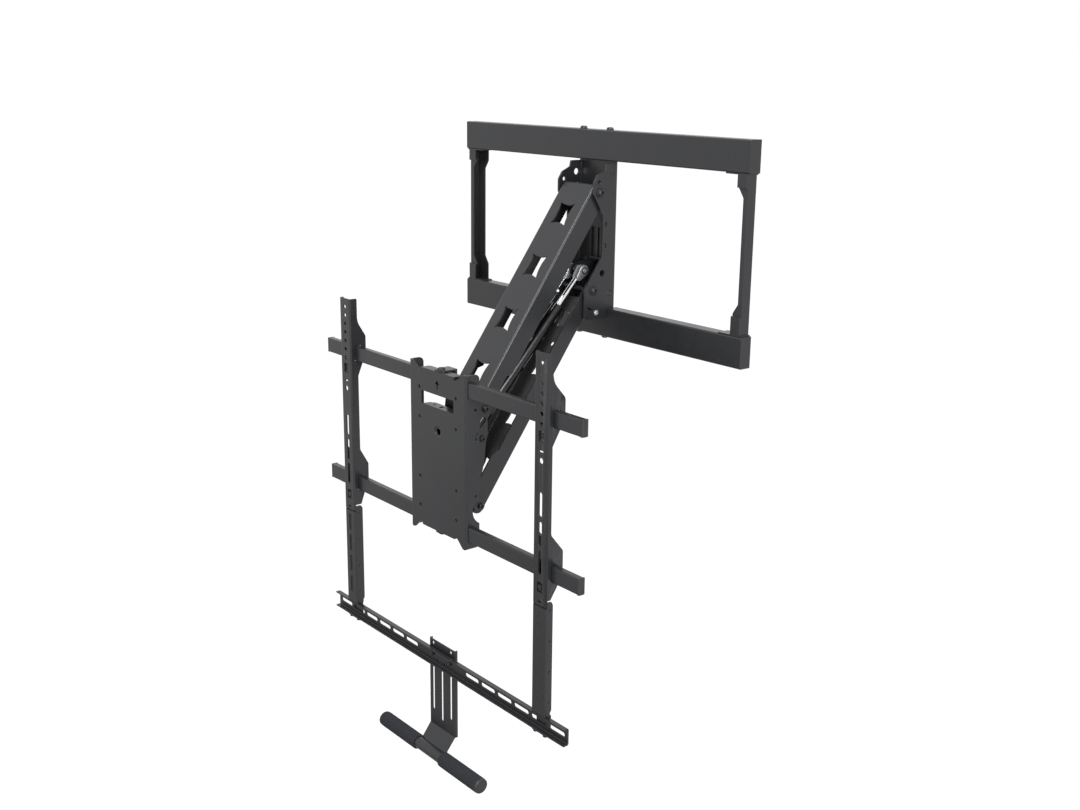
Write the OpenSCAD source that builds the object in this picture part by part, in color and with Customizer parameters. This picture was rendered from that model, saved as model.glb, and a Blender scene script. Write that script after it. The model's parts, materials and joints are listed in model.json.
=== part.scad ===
// Pull-down wall mount for a television, shown in its lowered position.
// The wall is the plane y = 0 and the room is towards -y. The origin lies on the wall,
// at the centre of the pattern of wall fixings. Dimensions are in millimetres.

/* [Wall frame] */
// Overall width of the wall frame
frame_w = 696; // [660:1:800]
// Height between the centre lines of the two wall rails
rail_pitch = 292; // [284:1:320]
// Height of a rail cover
cover_h = 49; // [44:0.5:56]
// Depth of a rail cover, from the wall to its front
cover_depth = 22.5; // [20:0.5:28]
// Sheet thickness of the rail covers
cover_wall = 2; // [1.5:0.1:2.5]
// Sheet thickness of the wall rails
rail_wall = 3; // [2.5:0.1:3.5]
// Depth of the wall rails' flanges
rail_depth = 15; // [14:0.5:17]
// Distance between the inner pair of wall studs
stud_gap = 406.4; // [380:0.1:420]
// Distance between the outer pair of wall studs
stud_gap_wide = 609.6; // [590:0.1:612]
// Length of the slots for the wall screws
fixing_slot = 24; // [16:1:30]
// Width of the slots for the wall screws
fixing_d = 9; // [7:0.1:10]
// Depth of the side stiles between the rails
stile_depth = 18; // [16:0.5:19]
// Width of a stile's flange on the wall, at mid height
stile_flange = 22; // [18:0.5:26]

/* [Column] */
// Outside width of the column over its ears
column_w = 92; // [90:0.5:100]
// Sheet thickness of the column and of the head bracket
column_wall = 3.5; // [3:0.1:4]
// Distance from the wall to the upper arm's pivot
upper_pivot_y = 41; // [40:0.5:44]
// Height of the upper arm's pivot above the centre of the wall fixings
upper_pivot_z = 71.2; // [70:0.1:74]
// How much farther from the wall the lower arm's pivot is
pivot_step = 10; // [8:0.5:12]
// Height between the two arm pivots
pivot_gap = 160; // [158:0.5:164]
// Distance from the wall to the springs' anchor pin
anchor_y = 49.5; // [48:0.5:51]
// Height of the springs' anchor pin above the lower arm's pivot
anchor_rise = 30; // [29:0.5:32]

/* [Arms] */
// Length of both arms between their pivots
arm_len = 402; // [396:1:412]
// Angle of the lowered arms below the horizontal
arm_drop = 54.4; // [53:0.1:56]
// Outside width of both arms
arm_w = 80; // [78:0.5:81]
// Sheet thickness of both arms
arm_wall = 3; // [2.5:0.1:3.5]
// Outside radius of the bends in the arms
arm_bend = 4; // [3.6:0.1:5]
// Diameter of the arm axles
axle_d = 10; // [8:0.5:12]

/* [Gas springs] */
// Diameter of the spring rods
rod_d = 10; // [9:0.5:11]
// Outside diameter of the spring tubes
tube_d = 22; // [20:0.5:24]
// Distance between the two gas springs
spring_gap = 28; // [27:0.5:31]
// Length of rod that shows between the anchor pin and the tube
rod_show = 76; // [70:1:80]

/* [Head] */
// Distance from the television plate's front back to the upper head pivot
head_back = 60.5; // [59:0.5:62]
// Height of the upper head pivot above the middle of the television plate
head_rise = 73; // [72:0.5:75]
// Distance from the television plate's front back to the swivel axis
swivel_back = 8.5; // [8:0.1:9]
// Sheet thickness of the swivel yoke
yoke_wall = 4; // [3.5:0.1:4.2]

/* [Television plate] */
// Width of the television plate
plate_w = 155; // [150:1:160]
// Height of the television plate between its folded edges
plate_h = 266; // [264:1:272]
// Depth of the plate's side flanges
plate_depth = 25.5; // [24:0.5:27]
// Sheet thickness of the television plate
plate_wall = 3; // [2.5:0.1:3.2]
// Diameter of the screw holes for small televisions
vesa_d = 6; // [5:0.1:8]

/* [Cross bars] */
// Length of the cross bars over their end caps
bar_len = 688; // [670:1:720]
// Height of the cross bars
bar_h = 25; // [22:0.5:25]
// Depth of the cross bars
bar_depth = 12; // [10:0.5:12]
// Height between the centre lines of the cross bars
bar_pitch = 234; // [230:0.5:234]

/* [Television brackets] */
// Distance between the two television brackets
bracket_gap = 533; // [500:1:560]
// Width of a television bracket
bracket_w = 32; // [30:0.5:34]
// Sheet thickness of the brackets and their extensions
bracket_wall = 2; // [1.6:0.1:2.2]
// Height of the brackets' top above the middle of the television plate
bracket_top = 212; // [205:1:220]
// Depth of the foot of a bracket below the middle of the television plate
bracket_foot = 168; // [166:1:172]

/* [Sound bar rail] */
// Length of the sound bar rail
sound_rail_len = 652; // [620:1:680]
// Height of the sound bar rail
sound_rail_h = 28; // [26:0.5:30]
// Top of the sound bar rail below the middle of the television plate
sound_rail_drop = 346; // [340:1:352]

/* [Handle] */
// Width of the handle bracket
handle_plate_w = 73; // [70:1:80]
// Length over the handle's two grips
handle_len = 286; // [260:1:320]
// Diameter of the handle tube
handle_tube_d = 20; // [18:0.5:21]
// Diameter of the foam grips
grip_d = 26; // [25:0.5:29]
// Width of bare tube between the grips
grip_gap = 73; // [72:1:84]

/* [Hidden] */
$fn = 48;

charcoal = "#47484a";
black = "#1f2022";
foam = "#3a3d42";
chrome = "#c9ccd0";
steel = "#77797d";
nylon = "#2b2c2e";

// Clearances: over a cut, beside a sliding part, round a pin
cut = 1;
slide_gap = 0.3;
pin_gap = 0.05;

// Wall rails inside their covers
rail_h = cover_h - 2 * cover_wall - 2 * slide_gap;
rail_len = frame_w - 2 * cover_wall - 2 * slide_gap;
// Half height of the clear opening between the covers
opening_z = (rail_pitch - cover_h) / 2;
// Depth of the lower cover's notch in front of which the ears end
ear_overlap = 15;
cover_screw_x = 32.5;
cover_screw_d = 6;
stile_tongue_w = 18;
stile_tongue_h = 24;
stile_wall = 2;
stile_end_w = stile_flange + 10;
stile_lip = 8;
stile_screw_d = 5;
// Outer face of a stile, and the middle of the tongue that holds it
stile_x = frame_w / 2 - 6;
stile_tongue_x = stile_x - stile_tongue_w / 2 - 4;

// Column
column_bend = 4;
column_in = column_w / 2 - column_wall;
column_back = rail_wall;
column_front = column_back + column_wall;
window_pan_w = 32;
ear_hole_d = axle_d + 2 * pin_gap;
lower_pivot_y = upper_pivot_y + pivot_step;
lower_pivot_z = upper_pivot_z - pivot_gap;
anchor_z = lower_pivot_z + anchor_rise;
anchor_pin_d = 8;
eye_d = 20;
eye_w = rod_d + 2;
anchor_ear_r = 10;
anchor_ear_x = spring_gap / 2 - eye_w / 2 - 0.5;

// Head pivots and the middle of the television plate's front
head_y = -upper_pivot_y - arm_len * cos(arm_drop);
head_z = upper_pivot_z - arm_len * sin(arm_drop);
plate_y = head_y - head_back;
plate_z = head_z - head_rise;
// Pivots seen from the middle of the plate's front
lower_head_y = head_back - pivot_step;
lower_head_z = head_rise - pivot_gap;
foot_y = 54;
foot_z = 25;
foot_pin_d = 8;
head_web_y = 32;
head_web_top = 28;
head_web_foot = -62;
tilt_y = 39;
tilt_z = -50;
clamp_y = 38.5;
clamp_z = 0;
tilt_bolt_d = 6;
tilt_max = 5;
tilt_slot = (clamp_z - tilt_z) * sin(tilt_max);
// Room for the yoke's foot to swing back as it tilts
tilt_room = 1.2;
yoke_back = head_web_y - tilt_room;
yoke_front = yoke_back - yoke_wall;
yoke_ear_x = column_w / 2 + slide_gap;
yoke_neck_w = 24;
yoke_top = 28;
yoke_tongue = 2.5;
swivel_bolt_d = 8;

// Gas springs: from the anchor pin down to the foot shaft
spring_dy = plate_y + foot_y + anchor_y;
spring_dz = plate_z + foot_z - anchor_z;
spring_len = sqrt(spring_dy * spring_dy + spring_dz * spring_dz);
spring_drop = atan2(-spring_dz, -spring_dy);
tube_bore = tube_d - 5;
gland_len = 12;
foot_eye_d = tube_d - 2;
tube_end = spring_len - foot_eye_d / 2 - 4;
// The piston stops short of the closed end of the bore
piston_room = 26;
tube_foot = 8;
piston_len = 8;
rod_end = tube_end - tube_foot - piston_room;

// Arm sections
upper_top = 13.3;
upper_skirt = 20;
lower_web = 15;
lower_side = 15;
lower_side_high = 22;
lower_lug_r = 14.5;
lug_r = 14;
bush_d = 20;
bush_gap = 0.2;

// Television plate
flange_hole_d = 5;
plate_bend = 4;
fold_w = 89;
fold_depth = 17;
window_w = 88;
window_top = 95;
window_foot = 74;
// Dished hole in the middle of the plate
dish_z = 34.9;
dish_d = 19;
dish_hole_d = 11;

// Cross bars
bar_front = plate_wall + slide_gap;
bar_wall = 1.5;
bar_corner = 2;
cap_len = 4;
bar_z = bar_pitch / 2;

// Television brackets
bracket_front = -5.8;
bracket_rear = 2;
bracket_inner_rear = 8.7;
bracket_x = bracket_gap / 2;
tongue_gap = slide_gap;
tongue_front = bracket_front + bracket_wall + tongue_gap;
tongue_top = -60;
tongue_w = bracket_w - 2 * bracket_wall - 2 * slide_gap;
upper_clamp_z = 90.4;
lower_clamp_z = -139.5;
clamp_bolt_d = 6;
drop_travel = 60;
extension_rear = 7.2;
extension_inner_rear = 10.5;

// Sound bar rail and handle
sound_rail_front = -5.2;
sound_rail_rear = 5;
sound_rail_wall = 2;
sound_rail_z = -sound_rail_drop;
extension_top = -bracket_foot - 2;
extension_foot_z = sound_rail_z + bracket_wall - 0.5;
rail_bolt_d = 4;
rail_bolt_x = 11.5;
handle_front = sound_rail_rear;
handle_wall = 2;
handle_top = sound_rail_z + 12.5;
handle_fold_z = sound_rail_z - 145;
handle_axis_y = -19;
handle_axis_z = handle_fold_z - 31;
handle_screw_x = 25;
handle_screw_z = sound_rail_z - 11.5;
handle_screw_d = 5;
handle_travel = 100;
grip_wall_gap = 0.1;
grip_pitch = 5;

column_bolt_d = 8;
column_bolt_x = [-30, -10, 10, 30];
column_end = rail_pitch / 2 + rail_h / 2 - rail_wall - 0.5;
cover_screw_y = rail_depth - 4;
stile_screw_z = rail_pitch / 2 - rail_h / 2 + 12;
stile_end_lip = 18;
stile_head = 21;
stile_foot = 30;
anchor_wall = 3;
anchor_bolt_d = 6;
anchor_bolts = [for (x = [-20, 20], z = [-12, 12]) [x, anchor_z + z]];
foot_bolt_d = 6;
foot_eye_w = 12;
foot_notch_x = spring_gap / 2 + foot_eye_w / 2 + 4;
arm_lip = 6;
// Centres of the arms' first and last windows, from the arms' ends
upper_window_s = 52.5;
upper_window_e = 51;
upper_window_pitch = (arm_len - upper_window_s - upper_window_e) / 3;
lower_window_s = 55.5;
lower_window_e = 64.5;
lower_window_pitch = (arm_len - lower_window_s - lower_window_e) / 3;
// How far the arms' sections run past their pivots before they are cut to shape
arm_over = 20;
// Shallower skirt at the upper arm's head end, past the springs' foot shaft
skirt_thin = 12.5;
skirt_step = head_rise - foot_z + 16;
// The springs' feet swing down this far below their shaft's seat
foot_swing = 57;
bracket_hole_z = bracket_top - 14.4;
bracket_hole_pitch = 14.83;
// Height and front face of the strips that take the clamp bolts, clear of the bracket's bends
clamp_seats = [for (z = [upper_clamp_z, lower_clamp_z])
               [z, tongue_front + bracket_wall + tongue_gap]];
rail_slot_x = 87;
rail_slot_pitch = 42.8;

// Unit vector from the origin towards v
function unit(v) = v / norm(v);

// Points of a corner p rounded with radius r between its neighbours a and b
function rounded_corner(a, p, b, r, n) =
    let (u = unit(a - p),
         v = unit(b - p),
         half = acos(max(-1, min(1, u * v))) / 2,
         c = p + unit(u + v) * r / sin(half),
         s = p + u * r / tan(half) - c,
         e = p + v * r / tan(half) - c,
         a0 = atan2(s[1], s[0]),
         turn = atan2(s[0] * e[1] - s[1] * e[0], s * e))
    [for (i = [0:n]) c + r * [cos(a0 + turn * i / n), sin(a0 + turn * i / n)]];

// Outline through corners [x, y, radius], where radius 0 leaves a corner sharp
function outline(corners) =
    let (n = len(corners))
    [for (i = [0:n - 1])
        let (a = corners[(i + n - 1) % n], p = corners[i], b = corners[(i + 1) % n])
        each (p[2] > 0
            ? rounded_corner([a[0], a[1]], [p[0], p[1]], [b[0], b[1]], p[2], p[2] > 7 ? 9 : 5)
            : [[p[0], p[1]]])];

// Flat outline in (y, z), extruded along x from x0 to x1
module side_plate(x0, x1) {
    translate([x0, 0, 0]) rotate([90, 0, 90]) linear_extrude(x1 - x0) children();
}

// Flat outline in (x, z), extruded along y from y0 to y1
module front_plate(y0, y1) {
    translate([0, y1, 0]) rotate([90, 0, 0]) linear_extrude(y1 - y0) children();
}

// Flat outline in (x, y), extruded along z from z0 to z1
module level_plate(z0, z1) {
    translate([0, 0, z0]) linear_extrude(z1 - z0) children();
}

// Box between two corners
module box(a, b) {
    translate(a) cube(b - a);
}

// Cylinders along x, y and z
module rod_x(x0, x1, y, z, d) {
    translate([x0, y, z]) rotate([0, 90, 0]) cylinder(d = d, h = x1 - x0);
}

module rod_y(y0, y1, x, z, d) {
    translate([x, y0, z]) rotate([-90, 0, 0]) cylinder(d = d, h = y1 - y0);
}

module rod_z(z0, z1, x, y, d) {
    translate([x, y, z0]) cylinder(d = d, h = z1 - z0);
}

// Slot outline with round ends, centred, long along its first axis
module slot(length, d) {
    square([length - d, d], center = true);
    for (s = [-1, 1]) translate([s * (length - d) / 2, 0]) circle(d = d);
}

// Points from a to b on an arc that bulges to the left by sag
function bow(a, b, sag) =
    let (left = unit([a[1] - b[1], b[0] - a[0]]))
    [for (i = [0:7]) let (t = i / 8) a + (b - a) * t + left * 4 * sag * t * (1 - t)];

// Window whose four sides bow inwards by sag
module bowed_window(l, w, sag) {
    corners = [[-l, -w], [l, -w], [l, w], [-l, w]] / 2;
    polygon([for (i = [0:3]) each bow(corners[i], corners[(i + 1) % 4], sag)]);
}

// Section of a bent channel: web along its first axis at 0, flanges towards -y
module channel_section(w, depth, t, bend) {
    difference() {
        bent_block(w, depth, bend);
        translate([0, -t]) bent_block(w - 2 * t, depth, max(bend - t, 0.3));
    }
}

module bent_block(w, h, r) {
    translate([-w / 2, -h]) square([w, h - r]);
    translate([-w / 2 + r, -r]) square([w - 2 * r, r]);
    for (s = [-1, 1]) translate([s * (w / 2 - r), -r]) circle(r = r);
}

// Places children in the frame of the television plate's front
module at_plate() {
    translate([0, plate_y, plate_z]) children();
}

// Places children in an arm's own frame: the arm runs along -y, its upper side is +z
module at_upper_arm() {
    translate([0, -upper_pivot_y, upper_pivot_z]) rotate([arm_drop, 0, 0]) children();
}

module at_lower_arm() {
    translate([0, -lower_pivot_y, lower_pivot_z]) rotate([arm_drop, 0, 0]) children();
}

// Places children in a spring's frame: the spring runs along -y from the anchor pin
module at_spring(side) {
    translate([side * spring_gap / 2, -anchor_y, anchor_z])
        rotate([spring_drop, 0, 0]) children();
}

// Cut through a rail's inner flange, clear of its web on the wall
module rail_notch(edge, inner, w, x) {
    far = edge - inner * (rail_wall + 3);
    box([x - w / 2, -rail_depth - cut, min(edge + inner * cut, far)],
        [x + w / 2, -rail_wall, max(edge + inner * cut, far)]);
}

// Wall rail: channel on the wall, open towards the room. inner is the side that faces
// the opening: -1 on the upper rail and 1 on the lower one.
module wall_rail(inner) {
    z = -inner * rail_pitch / 2;
    edge = z + inner * rail_h / 2;
    h = rail_h / 2;
    color(charcoal) difference() {
        side_plate(-rail_len / 2, rail_len / 2) difference() {
            polygon(outline([[0, z - h, 3.5], [0, z + h, 3.5], [-rail_depth, z + h, 0],
                             [-rail_depth, z - h, 0]]));
            translate([-rail_depth - cut, z - h + rail_wall])
                square([rail_depth + cut - rail_wall, rail_h - 2 * rail_wall]);
        }
        for (gap = [stud_gap, stud_gap_wide], s = [-1, 1])
            translate([s * gap / 2, 0, z])
                front_plate(-rail_wall - cut, cut) slot(fixing_slot, fixing_d);
        for (x = column_bolt_x) rod_y(-rail_wall - cut, cut, x, z, column_bolt_d + 0.4);
        rail_notch(edge, inner, column_w + 2 * slide_gap, 0);
        for (s = [-1, 1]) {
            rail_notch(edge, inner, stile_tongue_w + 2 * slide_gap, s * stile_tongue_x);
            rod_y(-rail_wall - cut, cut, s * stile_tongue_x, -inner * stile_screw_z,
                  stile_screw_d + 0.4);
            rod_z(z - h - cut, z + h + cut, s * cover_screw_x, -cover_screw_y,
                  cover_screw_d + 0.4);
        }
    }
}

module upper_wall_rail() { wall_rail(-1); }

module lower_wall_rail() { wall_rail(1); }

// Cover pressed over a wall rail, with closed ends
module rail_cover(inner) {
    z = -inner * rail_pitch / 2;
    edge = z + inner * cover_h / 2;
    outer = z - inner * cover_h / 2;
    color(charcoal) difference() {
        side_plate(-frame_w / 2, frame_w / 2)
            polygon(outline([[0, z - cover_h / 2, 0], [0, z + cover_h / 2, 0],
                             [-cover_depth, z + cover_h / 2, 2.5],
                             [-cover_depth, z - cover_h / 2, 2.5]]));
        box([-frame_w / 2 + cover_wall, -cover_depth + cover_wall, z - cover_h / 2 + cover_wall],
            [frame_w / 2 - cover_wall, cut, z + cover_h / 2 - cover_wall]);
        for (s = [-1, 1]) {
            rod_z(min(outer, z), max(outer, z), s * cover_screw_x, -cover_screw_y,
                  cover_screw_d + 0.4);
            rod_z(outer - cut, outer + cut, s * cover_screw_x, -cover_screw_y,
                  cover_screw_d + 0.4);
            box([s * stile_tongue_x - stile_tongue_w / 2 - slide_gap,
                 -rail_wall - stile_wall - slide_gap, edge - cover_wall - cut],
                [s * stile_tongue_x + stile_tongue_w / 2 + slide_gap, cut,
                 edge + cover_wall + cut]);
        }
        // Way for the column's back
        box([-column_w / 2 - slide_gap, -column_front - slide_gap, edge - cover_wall - cut],
            [column_w / 2 + slide_gap, cut, edge + cover_wall + cut]);
        // The column's ears reach down over the lower cover
        if (inner > 0)
            box([-column_w / 2 - 0.5, -cover_depth - cut, edge - ear_overlap - 0.5],
                [column_w / 2 + 0.5, cut, edge + cut]);
    }
}

module upper_rail_cover() { rail_cover(-1); }

module lower_rail_cover() { rail_cover(1); }

// Right-hand side stile: channel open towards the column, joggled deeper at its ends
module stile() {
    deep = stile_depth + 3.5;
    top = opening_z - stile_head;
    low = -opening_z + stile_foot;
    color(charcoal) difference() {
        union() {
            side_plate(stile_x - stile_wall, stile_x)
                polygon([[0, -opening_z], [0, opening_z], [-deep, opening_z], [-deep, top],
                         [-stile_depth, top], [-stile_depth, low], [-deep, low],
                         [-deep, -opening_z]]);
            front_plate(-stile_wall, 0)
                polygon(outline([[stile_x, -opening_z, 0], [stile_x, opening_z, 0],
                                 [stile_x - stile_end_w, opening_z, 0],
                                 [stile_x - stile_end_w, top, 3],
                                 [stile_x - stile_flange, top - 15, 6],
                                 [stile_x - stile_flange, low + 15, 6],
                                 [stile_x - stile_end_w, low, 3],
                                 [stile_x - stile_end_w, -opening_z, 0]]));
            front_plate(-stile_depth, -stile_depth + stile_wall)
                polygon(outline([[stile_x, low, 0], [stile_x, top, 0],
                                 [stile_x - stile_end_lip, top, 0],
                                 [stile_x - stile_lip, top - 15, 6],
                                 [stile_x - stile_lip, low + 15, 6],
                                 [stile_x - stile_end_lip, low, 0]]));
            for (end = [[top, opening_z, top], [-opening_z, low, low - stile_wall]]) {
                box([stile_x - stile_end_lip, -deep, end[0]],
                    [stile_x, -deep + stile_wall, end[1]]);
                box([stile_x - stile_end_lip, -deep, end[2]],
                    [stile_x, -stile_depth + stile_wall, end[2] + stile_wall]);
            }
            for (s = [-1, 1]) {
                z = s > 0 ? opening_z - stile_wall : -opening_z;
                box([stile_x - stile_end_w - 10, -deep, z], [stile_x + 3, 0, z + stile_wall]);
                box([stile_tongue_x - stile_tongue_w / 2, -rail_wall - stile_wall,
                     s > 0 ? z : z + stile_wall - stile_tongue_h],
                    [stile_tongue_x + stile_tongue_w / 2, -rail_wall,
                     s > 0 ? z + stile_tongue_h : z + stile_wall]);
            }
        }
        for (s = [-1, 1])
            rod_y(-rail_wall - stile_wall - cut, -rail_wall + cut, stile_tongue_x,
                  s * stile_screw_z, stile_screw_d + 0.4);
    }
}

module right_stile() { stile(); }

module left_stile() { mirror([1, 0, 0]) stile(); }

// Screws that hold the stiles' tongues to the wall rails
module stile_screws() {
    color(steel) for (s = [-1, 1], t = [-1, 1]) {
        rod_y(-rail_wall - stile_wall - 3, -rail_wall - stile_wall, s * stile_tongue_x,
              t * stile_screw_z, 9);
        rod_y(-rail_wall - stile_wall, 0, s * stile_tongue_x, t * stile_screw_z, stile_screw_d);
    }
}

// Flanged screws that hold the covers to the wall rails, above and below
module cover_screws() {
    shank = cover_wall + slide_gap + rail_wall;
    top = rail_pitch / 2 + cover_h / 2;
    color(black) for (s = [-1, 1], t = [0, 1])
        mirror([0, 0, t]) translate([s * cover_screw_x, -cover_screw_y, top]) {
            cylinder(d = 13, h = 1.2);
            cylinder(d = 10 / cos(30), h = 4.5, $fn = 6);
            translate([0, 0, -shank]) cylinder(d = cover_screw_d, h = shank);
        }
}

// Side view of the column: its back with the ears that carry the arms
module column_side() {
    uy = -upper_pivot_y;
    ly = -lower_pivot_y;
    ear_top = opening_z - 3.5;
    ear_foot = -opening_z - ear_overlap;
    polygon(outline([
        [-column_back, -column_end, 0], [-column_back, column_end, 0],
        [-column_front, column_end, 0], [-column_front, ear_top, 0],
        [uy + 12.5, ear_top, 2], [uy + 10.5, upper_pivot_z + 36.7, 3],
        [uy - 6.5, upper_pivot_z + 29, 3], [uy - 14.2, upper_pivot_z + 17, 4],
        [uy - 14.2, upper_pivot_z - 3, 7], [uy - 4.9, upper_pivot_z - 17.5, 12],
        [uy + 6.7, upper_pivot_z - 36, 10], [ly + 16.8, lower_pivot_z + 55, 10],
        [ly - 20.4, lower_pivot_z + 2, 6], [ly - 20.4, ear_foot, 5],
        [-column_front, ear_foot, 0], [-column_front, -column_end, 0]]));
}

// Column: channel that carries the arms between its ears
module column() {
    uy = -upper_pivot_y;
    ly = -lower_pivot_y;
    x = column_w / 2 + cut;
    color(charcoal) {
        // Pan behind the window between the anchor's upper bolts, with a rib down its middle
        box([-window_pan_w / 2, -column_back - 0.5, anchor_z - 3],
            [window_pan_w / 2, -column_back + 2, anchor_z + 72]);
        box([-2.5, -column_front + 1, anchor_z], [2.5, -column_back, anchor_z + 69]);
    }
    color(charcoal) difference() {
        intersection() {
            level_plate(-column_end - cut, column_end + cut)
                translate([0, -column_back]) channel_section(column_w, 100, column_wall, column_bend);
            side_plate(-x, x) column_side();
        }
        rod_x(-x, x, uy, upper_pivot_z, ear_hole_d);
        rod_x(-x, x, ly, lower_pivot_z, ear_hole_d);
        rod_x(-x, x, uy - 2.5, upper_pivot_z + 17, 7);
        rod_x(-x, 0, uy + 24.5, upper_pivot_z + 28, 11);
        for (y = [20, 27])
            side_plate(0, x) translate([uy + y, upper_pivot_z + 28]) rotate(60) slot(9, 3);
        rod_x(-x, x, ly + 18, lower_pivot_z + 27.5, 11);
        for (s = [0, 1]) mirror([s, 0, 0])
            rod_x(column_w / 2 - 1, x, ly + 34, lower_pivot_z - 7, 10);
        rod_x(-x, x, ly + 6, lower_pivot_z - 37.5, 6);
        for (z = [17.5, -17.5])
            side_plate(-x, x) translate([uy + 14, upper_pivot_z - 69.5 + z]) rotate(90) slot(9, 3);
        side_plate(-x, x) translate([ly - 7.5, lower_pivot_z - 30]) rotate(-22) slot(12, 4);
        box([-12.7, -column_front - cut, anchor_z + 1], [12.7, -column_back + cut, anchor_z + 68]);
        for (bolt = column_bolt_x, s = [-1, 1])
            rod_y(-column_front - cut, -column_back + cut, bolt, s * rail_pitch / 2,
                  column_bolt_d + 0.4);
        for (p = anchor_bolts)
            rod_y(-column_front - cut, -column_back + cut, p[0], p[1], anchor_bolt_d + 0.4);
    }
}

// Hexagon bolt along y with its head towards the room
module bolt_y(x, z, y_head, y_end, af, head, d) {
    translate([x, y_head, z]) rotate([90, 0, 0]) cylinder(d = af / cos(30), h = head, $fn = 6);
    rod_y(y_head, y_end, x, z, d);
}

// Bolts that hold the column to the wall rails and the springs' anchor to the column
module column_bolts() {
    color(black) {
        for (x = column_bolt_x, s = [-1, 1])
            bolt_y(x, s * rail_pitch / 2, -column_front, 0, 13, 5, column_bolt_d);
        for (p = anchor_bolts)
            bolt_y(p[0], p[1], -column_front - anchor_wall, -column_back, 10, 4, anchor_bolt_d);
    }
}

// Axle with a button head on each side, over the outside width w
module axle(w, y, z, head_d, washer_d) {
    color(black) {
        rod_x(-w / 2, w / 2, y, z, axle_d);
        for (s = [0, 1]) mirror([s, 0, 0]) translate([w / 2, y, z]) rotate([0, 90, 0]) {
            cylinder(d = washer_d, h = 1.5);
            cylinder(d1 = head_d, d2 = head_d - 3, h = 5);
        }
    }
}

module upper_column_axle() { axle(column_w, -upper_pivot_y, upper_pivot_z, 14, 18); }

module lower_column_axle() { axle(column_w, -lower_pivot_y, lower_pivot_z, 14, 18); }

// Washer-shaped bushes beside an arm, on the axle at (y, z)
module bush_pair(y, z) {
    for (s = [-1, 1]) difference() {
        rod_x(min(s * (arm_w / 2 + bush_gap), s * column_in),
              max(s * (arm_w / 2 + bush_gap), s * column_in), y, z, bush_d);
        rod_x(-column_w, column_w, y, z, ear_hole_d);
    }
}

module column_bushes() {
    color(nylon) {
        bush_pair(-upper_pivot_y, upper_pivot_z);
        bush_pair(-lower_pivot_y, lower_pivot_z);
    }
}

// Bracket on the column that carries the springs' anchor pin between the two rods
module spring_anchor() {
    base = -column_front - anchor_wall;
    color(charcoal) difference() {
        union() {
            front_plate(base, -column_front)
                polygon(outline([[-26, anchor_z - 18, 4], [26, anchor_z - 18, 4],
                                 [26, anchor_z + 18, 4], [-26, anchor_z + 18, 4]]));
            for (s = [-1, 1])
                side_plate(min(s * anchor_ear_x, s * (anchor_ear_x - anchor_wall)),
                           max(s * anchor_ear_x, s * (anchor_ear_x - anchor_wall))) {
                    translate([-anchor_y, anchor_z]) circle(r = anchor_ear_r);
                    polygon([[base, anchor_z - 15], [base, anchor_z + 15],
                             [-anchor_y + 1, anchor_z + anchor_ear_r],
                             [-anchor_y + 1, anchor_z - anchor_ear_r]]);
                }
        }
        rod_x(-anchor_ear_x - cut, anchor_ear_x + cut, -anchor_y, anchor_z,
              anchor_pin_d + 2 * pin_gap);
        for (p = anchor_bolts)
            rod_y(base - cut, -column_front + cut, p[0], p[1], anchor_bolt_d + 0.4);
    }
}

// Anchor pin with a collar at each end
module spring_anchor_pin() {
    eye_x = spring_gap / 2 + eye_w / 2 + slide_gap;
    color(steel) {
        rod_x(-eye_x - 2.5, eye_x + 2.5, -anchor_y, anchor_z, anchor_pin_d);
        for (s = [0, 1]) mirror([s, 0, 0]) rod_x(eye_x, eye_x + 2, -anchor_y, anchor_z, 12);
    }
}

// Upper arm: channel open towards the lower arm, with four windows in its top
module upper_arm() {
    x = arm_w / 2 + cut;
    color(charcoal) at_upper_arm() difference() {
        intersection() {
            translate([0, arm_over, upper_top]) rotate([90, 0, 0])
                linear_extrude(arm_len + 2 * arm_over)
                    channel_section(arm_w, upper_top + upper_skirt + 5, arm_wall, arm_bend);
            side_plate(-x, x) {
                for (y = [0, -arm_len]) translate([y, 0]) circle(r = lug_r);
                polygon([[0, upper_top], [-arm_len, upper_top], [-arm_len, -lug_r],
                         [-arm_len + lug_r, -skirt_thin], [-arm_len + skirt_step, -skirt_thin],
                         [-arm_len + skirt_step + 8, -upper_skirt], [-20, -upper_skirt],
                         [0, -lug_r]]);
                translate([-arm_len - arm_lip, upper_top - arm_wall])
                    square([arm_len + 2 * arm_lip, arm_wall]);
            }
        }
        for (y = [0, -arm_len]) rod_x(-x, x, y, 0, axle_d + 2 * pin_gap);
        for (i = [0:3])
            translate([0, -upper_window_s - i * upper_window_pitch, 0])
                level_plate(upper_top - arm_wall - cut, upper_top + cut)
                    rotate(90) bowed_window(41.5, 36, 4);
        // Chamfered corners at both ends of the top
        for (s = [-1, 1], end = [[arm_lip, 1], [-arm_len - arm_lip, -1]])
            level_plate(upper_top - arm_wall - 1.5, upper_top + cut)
                polygon([[s * (arm_w / 2 - 6), end[0]], [s * x, end[0] - end[1] * 7],
                         [s * x, end[0] + end[1]], [s * (arm_w / 2 - 6), end[0] + end[1]]]);
    }
}

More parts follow.
